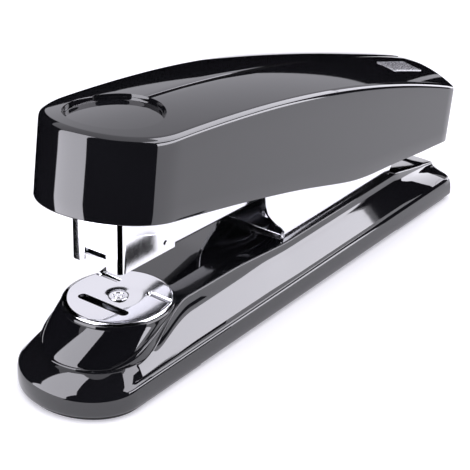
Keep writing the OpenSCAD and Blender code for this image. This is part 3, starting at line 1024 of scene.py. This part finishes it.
@dataclass
class Anvil:
    """The turning anvil disc with its forming pocket and its two pin grooves."""

    x: float = -52.5
    radius: float = 12.9
    under: float = 17.2
    top: float = 18.7
    pocket_x: float = -57.8
    pocket_half: float = 7.5
    pocket_width: float = 2.4
    groove_x: float = -47.2
    undercut: float = 1.4
    lip: float = 0.7

    def build(self, shop: Workshop) -> None:
        """Makes the disc, its rivet and its washer.

        Args:
            shop: the workshop.
        """
        rim, under, top = self.radius, self.under, self.top
        profile = [(2.3, under), (6.0, under), (rim - 0.3, under), (rim - 0.05, under + 0.2),
                   (rim, under + 0.5), (rim - 0.05, top - 0.55), (rim - 0.2, top - 0.3),
                   (rim - 0.55, top - 0.1), (rim - 1.0, top - 0.02), (rim - 1.5, top), (9.0, top),
                   (6.0, top), (2.55, top), (2.42, top - 0.06), (2.38, top - 0.4),
                   (2.3, top - 0.5)]
        rings = Workshop.turned(self.x, profile, 128)
        rings.append(rings[0])
        disc = shop.piece("anvil_disc", Workshop.loft(rings, caps=False), Body.ANVIL,
                          Slot.ANVIL_CHROME, ("anvil_plate",))
        cutters = [self.pocket(0.0, 20.0), self.pocket(self.undercut, self.top - self.lip)]
        for side in (-1, 1):
            cutters.append(self.groove(side))
        for number, cutter in enumerate(cutters):
            self.cut(disc, cutter, number)
        Workshop.edge_break(disc, 0.12, 2)
        self.rivet(shop)
        self.washer(shop)

    def rivet(self, shop: Workshop) -> None:
        """Makes the rivet that the disc turns on, with a ring pressed in its head.

        Args:
            shop: the workshop.
        """
        top = self.top
        foot = [(3.0, 13.4), (3.0, 14.3), (2.0, 14.3)]
        head = [(2.0, top - 0.6), (2.25, top - 0.5), (2.3, top - 0.1), (2.2, top + 0.02)]
        ring = [(1.45, top + 0.05), (1.35, top - 0.1), (1.1, top - 0.1), (1.0, top + 0.05),
                (0.4, top + 0.05), (0.3, top - 0.08)]
        made = Workshop.loft(Workshop.turned(self.x, foot + head + ring, 64))
        shop.piece("anvil_rivet_head", made, Body.BASE, Slot.ANVIL_CHROME, ("anvil_rivet",))

    def washer(self, shop: Workshop) -> None:
        """Makes the small waved spring washer under the disc.

        Args:
            shop: the workshop.
        """
        waves, height = 3, 0.08
        inner, outer = 2.1, 3.9
        foot = self.under - 0.5
        profile = [(inner, foot), (outer, foot), (outer, foot + 0.3), (inner, foot + 0.3)]
        rings = []
        for flat in Workshop.turned(self.x, profile, 72):
            turns = [2 * math.pi * k / len(flat) for k in range(len(flat))]
            rings.append([(x, y, z + height * math.sin(waves * a))
                          for (x, y, z), a in zip(flat, turns)])
        rings.append(rings[0])
        shop.piece("anvil_wave_washer", Workshop.loft(rings, caps=False), Body.BASE,
                   Slot.SPRING_STEEL, ("anvil_spring_washer",))

    def pocket(self, grow: float, high: float) -> bmesh.types.BMesh:
        """Makes the forming pocket's shape, a slot with round ends.

        Args:
            grow: how much wider than the visible slot it is on every side.
            high: height of its upper end.

        Returns:
            The shape to cut out of the disc.
        """
        r = self.pocket_width / 2 + grow
        half = self.pocket_half + grow
        outline = []
        for side in (1, -1):
            for k in range(9):
                a = math.pi * k / 8
                outline.append((self.pocket_x + side * r * math.cos(a),
                                side * (half - r + r * math.sin(a))))
        return Workshop.prism(outline, 16.5, high)

    def groove(self, side: int) -> bmesh.types.BMesh:
        """Makes the shape of one shallow pin groove.

        Args:
            side: which side of the disc it is on, -1 or 1.

        Returns:
            The shape to cut out of the disc.
        """
        full, tip = 1.15, 0.5
        height = self.top + 0.25
        rings = []
        for y, r in ((4.3, tip), (4.8, full), (10.8, full), (11.3, tip)):
            ring = []
            for k in range(20):
                a = 2 * math.pi * k / 20
                ring.append((self.groove_x + r * math.cos(a), side * y, height + r * math.sin(a)))
            rings.append(ring)
        return Workshop.loft(rings)

    @staticmethod
    def cut(disc: bpy.types.Object, shape: bmesh.types.BMesh, number: int) -> None:
        """Cuts one shape out of the disc.

        Args:
            disc: the disc.
            shape: the mesh to take away, in millimetres; it is freed here.
            number: which cut this is.
        """
        bmesh.ops.recalc_face_normals(shape, faces=shape.faces)
        bmesh.ops.scale(shape, vec=(MM, MM, MM), verts=shape.verts)
        tool = placed("cutter", shape)
        cut = disc.modifiers.new(f"cut_{number}", "BOOLEAN")
        cut.operation = "DIFFERENCE"
        cut.solver = "EXACT"
        cut.object = tool
        bpy.context.view_layer.update()
        done = bpy.data.meshes.new_from_object(
            disc.evaluated_get(bpy.context.evaluated_depsgraph_get()))
        disc.modifiers.remove(cut)
        disc.data = done
        done.shade_smooth()
        done.set_sharp_from_angle(angle=SHARP_ANGLE)
        bpy.data.objects.remove(tool)


@dataclass
class Magazine:
    """The chrome channel, its bent head, and the staples and spring inside."""

    axle: Point = (60.4, 0.0, 29.6)
    tilt: float = 2.31
    front: float = -120.0
    half: float = 7.6
    sheet: float = 0.6
    corner: float = 1.5
    strip_front: float = -117.9
    strip_length: float = 48.0
    staple_half: float = 6.35
    crown: float = 3.0
    leg_foot: float = -3.3
    pitch: float = 0.6
    window_half: float = 3.3
    window_foot: float = -0.9
    wing_end: float = -101.0
    channel_front: float = -117.2
    channel_half: float = 6.95
    channel_foot: float = -4.0
    channel_corner: float = 0.8
    channel_sheet: float = 0.5
    rod_height: float = 5.0
    foot: list[tuple[float, float]] = field(default_factory=lambda: [(-120, -4.9), (-101, -4.6)])
    brow: list[tuple[float, float]] = field(default_factory=lambda: [
        (-120, 9), (-116.6, 9), (-116.0, 5.6), (-115, 3.6), (-113.5, 2.8), (-109, 1.4),
        (-102, -0.7), (-101, -1.2)])

    def world(self, s: float, y: float, t: float) -> Point:
        """Carries a point of the magazine's axes into the shared frame."""
        return swing((s, y, t), self.axle, self.tilt)

    def build(self, shop: Workshop) -> None:
        """Makes the head, the channel, the staples and the spring.

        Args:
            shop: the workshop.
        """
        self.head(shop)
        self.channel(shop)
        self.staples(shop)
        self.spring(shop)

    def path(self) -> list[tuple[float, float]]:
        """Plan line of the head's outside.

        Returns:
            The points from the near wing round the front to the far one.
        """
        near = [(s, -self.half) for s in spaced(self.wing_end, self.front + self.corner, 30)]
        near += [(-116.6, -self.half), (-116.0, -self.half)]
        near.sort(key=lambda p: -p[0])
        bend = []
        for k in range(1, 8):
            a = math.pi / 2 * k / 8
            bend.append((self.front + self.corner * (1 - math.sin(a)),
                         -self.half + self.corner * (1 - math.cos(a))))
        front = [(self.front, y) for y in (-6.1, -4.5, -3.35, -3.25, -3.0, -1.5, 0.0)]
        whole = near + bend + front
        return whole + [(s, -y) for s, y in reversed(whole[:-1])]

    def head(self, shop: Workshop) -> None:
        """Makes the bent sheet head, with its window for the blade.

        Args:
            shop: the workshop.
        """
        rows = []
        for s, y in self.path():
            low = between(self.foot, s)
            high = between(self.brow, s)
            if abs(y) < self.window_half and s < self.front + 0.1:
                low = self.window_foot
            rows.append([(s, y, low + (high - low) * k / 6) for k in range(7)])
        made = Workshop.loft(rows, closed=False, caps=False)
        for p in made.verts:
            p.co = self.world(*p.co)
        thing = shop.piece("magazine_head_sheet", made, Body.MAGAZINE, Slot.HEAD_CHROME,
                           ("magazine_head",), math.radians(50))
        solid = thing.modifiers.new("sheet", "SOLIDIFY")
        solid.thickness = self.sheet * MM
        solid.offset = -1.0
        Workshop.edge_break(thing, 0.12, 2)

    def channel(self, shop: Workshop) -> None:
        """Makes the long U channel.

        Args:
            shop: the workshop.
        """
        corner, wide, foot = self.channel_corner, self.channel_half, self.channel_foot
        rows = []
        ends = [-17, -16, -15, -12, -8, -4, -1, 0]
        for s in [self.channel_front] + spaced(-115, -20, 20) + ends:
            high = between([(-17, 7.5), (-15, 4.2)], s)
            side = [(-wide, high), (-wide, high * 0.5), (-wide, -1.5), (-wide, foot + corner)]
            for k in range(1, 6):
                a = math.pi / 2 * k / 6
                side.append((-wide + corner * (1 - math.cos(a)),
                             foot + corner * (1 - math.sin(a))))
            side += [(-wide + corner, foot), (-3.0, foot), (0.0, foot)]
            whole = side + [(-y, t) for y, t in reversed(side[:-1])]
            rows.append([self.world(s, y, t) for y, t in whole])
        made = Workshop.loft(rows, closed=False, caps=False)
        thing = shop.piece("magazine_channel_sheet", made, Body.MAGAZINE, Slot.CHANNEL_CHROME,
                           ("magazine_channel",))
        solid = thing.modifiers.new("sheet", "SOLIDIFY")
        solid.thickness = self.channel_sheet * MM
        solid.offset = 1.0
        Workshop.edge_break(thing, 0.08, 1)

    def staples(self, shop: Workshop) -> None:
        """Makes the strip of separate staples.

        Args:
            shop: the workshop.
        """
        made = bmesh.new()
        wire = 0.5
        deep = 0.42
        count = round(self.strip_length / self.pitch)
        for n in range(count):
            s = self.strip_front + (n + 0.5) * self.pitch
            outer = self.staple_line(0.0, 0.5)
            inner = self.staple_line(wire, 0.1)
            rings = []
            for (oy, ot), (iy, it) in zip(outer, inner):
                rings.append([self.world(s - deep / 2, oy, ot), self.world(s + deep / 2, oy, ot),
                              self.world(s + deep / 2, iy, it), self.world(s - deep / 2, iy, it)])
            Workshop.loft(rings, made)
        shop.piece("staple_row", made, Body.MAGAZINE, Slot.STAPLE_WIRE, ("staple_strip",))

    def staple_line(self, inset: float, bend: float) -> list[tuple[float, float]]:
        """Side line of one staple, seen along the magazine.

        Args:
            inset: how far inside the staple's outer face it runs.
            bend: how far its corners are cut.

        Returns:
            The points (y, height) from one leg's foot to the other's.
        """
        side = inset - self.staple_half
        top = self.crown - inset
        line = [(side, self.leg_foot), (side, top - bend),
                (side + bend * 0.3, top - bend * 0.3), (side + bend, top)]
        return line + [(-y, t) for y, t in reversed(line)]

    def spring(self, shop: Workshop) -> None:
        """Makes the pusher's helical spring from round wire.

        Args:
            shop: the workshop.
        """
        first, last, turns, radius, wire = -57.6, -9.8, 22, 1.45, 0.22
        rings = []
        steps = turns * 20
        for k in range(steps + 1):
            a = 2 * math.pi * k / 20
            s = first + (last - first) * k / steps
            centre = Vector((s, radius * math.cos(a), self.rod_height + radius * math.sin(a)))
            out = Vector((0.0, math.cos(a), math.sin(a)))
            along = Vector((1.0, 0.0, 0.0))
            ring = []
            for j in range(8):
                b = 2 * math.pi * j / 8
                place = centre + (out * math.cos(b) + along * math.sin(b)) * wire
                ring.append(self.world(*place))
            rings.append(ring)
        shop.piece("pusher_spring_coil", Workshop.loft(rings), Body.MAGAZINE, Slot.SPRING_STEEL,
                   ("pusher_spring",))


@dataclass
class Bracket:
    """The bent chrome bracket that carries the axle."""

    half: float = 10.9
    sheet: float = 1.0
    floor: float = 16.0
    outline: list[tuple[float, float]] = field(default_factory=lambda: [
        (-1.8, 16.0), (-1.5, 17.7), (-2.8, 19.4), (-5.1, 21.4), (-7.0, 23.5), (-8.5, 25.5),
        (-9.5, 28.4), (-9.8, 31.5), (-8.0, 33.5), (54.4, 33.4), (60.4, 33.5), (63.2, 32.4),
        (64.4, 29.6), (63.2, 27.0), (61.4, 26.4), (56.0, 25.6), (48.0, 16.0)])

    def build(self, shop: Workshop) -> None:
        """Makes the two side plates and the floor between them.

        Args:
            shop: the workshop.
        """
        made = bmesh.new()
        for side in (-1, 1):
            Workshop.prism(self.outline, side * (self.half - self.sheet), side * self.half,
                           across=True, build=made)
        inner = self.half - self.sheet
        front, rear = self.outline[0][0], self.outline[-1][0]
        plate = [(front, -inner), (rear, -inner), (rear, inner), (front, inner)]
        Workshop.prism(plate, self.floor, self.floor + self.sheet, build=made)
        thing = shop.piece("hinge_bracket_sheet", made, Body.BASE, Slot.BRACKET_CHROME,
                           ("hinge_bracket",))
        Workshop.edge_break(thing, 0.2, 3)


@dataclass(frozen=True)
class Card:
    """A curved glowing or black panel that only shows in reflections."""

    name: str
    first: float
    last: float
    reach: float
    low: float
    high: float
    glow: float
    apron: float = 0.0


@dataclass
class Studio:
    """The pale floor, soft lights, reflector cards and the camera."""

    eye: Point = (-0.2666, -0.1999, 0.1876)
    target: Point = (-0.00296, 0.00386, 0.01284)
    lens: float = 110.44
    sky: float = 0.88
    floor_glow: float = 0.32
    tint: Point = (1.0, 0.985, 1.07)
    centre_x: float = -0.061
    cards: list[Card] = field(default_factory=lambda: [
        Card("front_flag", -179.0, -84.0, 0.088, 0.0, 0.30, 0.0, 0.045),
        Card("left_strip", 133.0, 180.5, 0.088, 0.0, 0.30, 5.0, 0.070),
        Card("left_flag", 58.0, 132.0, 0.088, 0.0, 0.12, 0.0, 0.040),
        Card("right_softbox", -88.0, -33.5, 0.40, 0.0, 0.105, 7.0),
        Card("right_flag", -88.0, -33.5, 0.40, 0.106, 0.19, 0.0),
        Card("rear_flag", -33.0, -14.0, 0.40, 0.0, 0.19, 0.0),
        Card("rear_strip", -13.9, 1.9, 0.40, 0.0, 0.19, 5.0),
        Card("rear_edge_flag", 2.0, 11.0, 0.40, 0.0, 0.13, 0.0),
        Card("high_softbox", -95.0, 4.0, 0.40, 0.191, 0.62, 5.0),
        Card("far_flag", 12.0, 57.0, 0.40, 0.0, 0.105, 0.0),
    ])

    def build(self) -> None:
        """Sets up the floor, the lights, the cards and the camera."""
        self.world()
        self.floor()
        for card in self.cards:
            self.card(card)
        self.low_flag()
        self.lamp("overhead", (-0.1, -0.1, 0.9), 0.9, 4.0)
        self.camera()

    def world(self) -> None:
        """Fills the room with an even soft light."""
        world = bpy.data.worlds.new("room")
        bpy.context.scene.world = world
        world.use_nodes = True
        back = world.node_tree.nodes["Background"]
        back.inputs["Color"].default_value = (*self.tint, 1.0)
        back.inputs["Strength"].default_value = self.sky
        bpy.context.scene.view_settings.view_transform = "Standard"

    def floor(self) -> None:
        """Lays the pale floor."""
        made = bmesh.new()
        size = 6.0
        made.faces.new([made.verts.new((x * size, y * size, 0.0))
                        for x, y in ((-1, -1), (1, -1), (1, 1), (-1, 1))])
        thing = placed("floor", made)
        paint = bpy.data.materials.new("floor_white")
        paint.use_nodes = True
        shader = paint.node_tree.nodes["Principled BSDF"]
        shader.inputs["Base Color"].default_value = (0.85, 0.85, 0.86, 1.0)
        shader.inputs["Roughness"].default_value = 0.9
        shader.inputs["Emission Color"].default_value = (*self.tint, 1.0)
        shader.inputs["Emission Strength"].default_value = self.floor_glow
        thing.data.materials.append(paint)

    def panel(self, name: str, rings: list[Ring], glow: float) -> None:
        """Hangs one panel that only reflections see.

        Args:
            name: the panel's name.
            rings: rows of points that it is stretched over, in metres.
            glow: how brightly it shines; 0 is a black flag.
        """
        made = Workshop.loft(rings, closed=False, caps=False)
        thing = placed(name, made)
        thing.visible_camera = False
        thing.visible_diffuse = False
        thing.visible_shadow = False
        thing.visible_transmission = False
        paint = bpy.data.materials.new(name)
        paint.use_nodes = True
        tree = paint.node_tree
        tree.nodes.clear()
        out = tree.nodes.new("ShaderNodeOutputMaterial")
        light = tree.nodes.new("ShaderNodeEmission")
        light.inputs["Color"].default_value = (*self.tint, 1.0)
        light.inputs["Strength"].default_value = glow
        tree.links.new(light.outputs["Emission"], out.inputs["Surface"])
        thing.data.materials.append(paint)

    def arc(self, card: Card, reach: float, z: float) -> Ring:
        """One edge of a card.

        Args:
            card: the card, which gives the angles.
            reach: how far it stands from the nose of the stapler.
            z: its height.

        Returns:
            The points from one end of the card to the other.
        """
        points = []
        for k in range(25):
            a = math.radians(card.first + (card.last - card.first) * k / 24)
            points.append((self.centre_x + reach * math.cos(a), reach * math.sin(a), z))
        return points

    def card(self, card: Card) -> None:
        """Stands one card round the nose, with an apron on the floor if it has one.

        Args:
            card: the card.
        """
        lift = 0.0006
        rings = [self.arc(card, card.reach, card.high), self.arc(card, card.reach, lift)]
        if card.low:
            rings[1] = self.arc(card, card.reach, card.low)
        if card.apron:
            rings.append(self.arc(card, card.apron, lift))
        self.panel(card.name, rings, card.glow)

    def low_flag(self) -> None:
        """Stands a low black strip beside the base, for the dark band on its flank."""
        y = -0.045
        low, high = 0.0005, 0.0068
        front, rear = -0.06, -0.005
        self.panel("low_flag", [[(front, y, low), (rear, y, low)],
                                [(front, y, high), (rear, y, high)]], 0.0)

    def lamp(self, name: str, place: Point, size: float, power: float) -> None:
        """Hangs one square soft light aimed at the stapler.

        Args:
            name: the light's name.
            place: where it hangs, in metres.
            size: the length of its side.
            power: its power in watts.
        """
        light = bpy.data.lights.new(name, "AREA")
        light.size = size
        light.energy = power
        thing = bpy.data.objects.new(name, light)
        bpy.context.scene.collection.objects.link(thing)
        thing.location = place
        thing.rotation_mode = "QUATERNION"
        thing.rotation_quaternion = (-Vector(place)).to_track_quat("-Z", "Y")
        thing.visible_glossy = False

    def camera(self) -> None:
        """Places the camera."""
        data = bpy.data.cameras.new("camera")
        data.lens = self.lens
        data.sensor_width = 36.0
        data.clip_start = 0.01
        data.clip_end = 20.0
        thing = bpy.data.objects.new("camera", data)
        bpy.context.scene.collection.objects.link(thing)
        thing.location = self.eye
        thing.rotation_mode = "QUATERNION"
        look = Vector(self.target) - Vector(self.eye)
        thing.rotation_quaternion = look.to_track_quat("-Z", "Y")
        bpy.context.scene.camera = thing


def main() -> None:
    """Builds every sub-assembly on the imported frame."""
    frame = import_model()
    paint = Paint(FINISHES)
    paint.dress_frame(frame["nodes"], frame["record"])
    shop = Workshop(paint)
    Base().build(shop)
    Anvil().build(shop)
    Bracket().build(shop)
    Magazine().build(shop)
    cover = Cover()
    cover.build(shop)
    Badge().build(shop, cover)
    Studio().build()


if __name__ == "__main__":
    logging.basicConfig(level=logging.INFO)
    main()
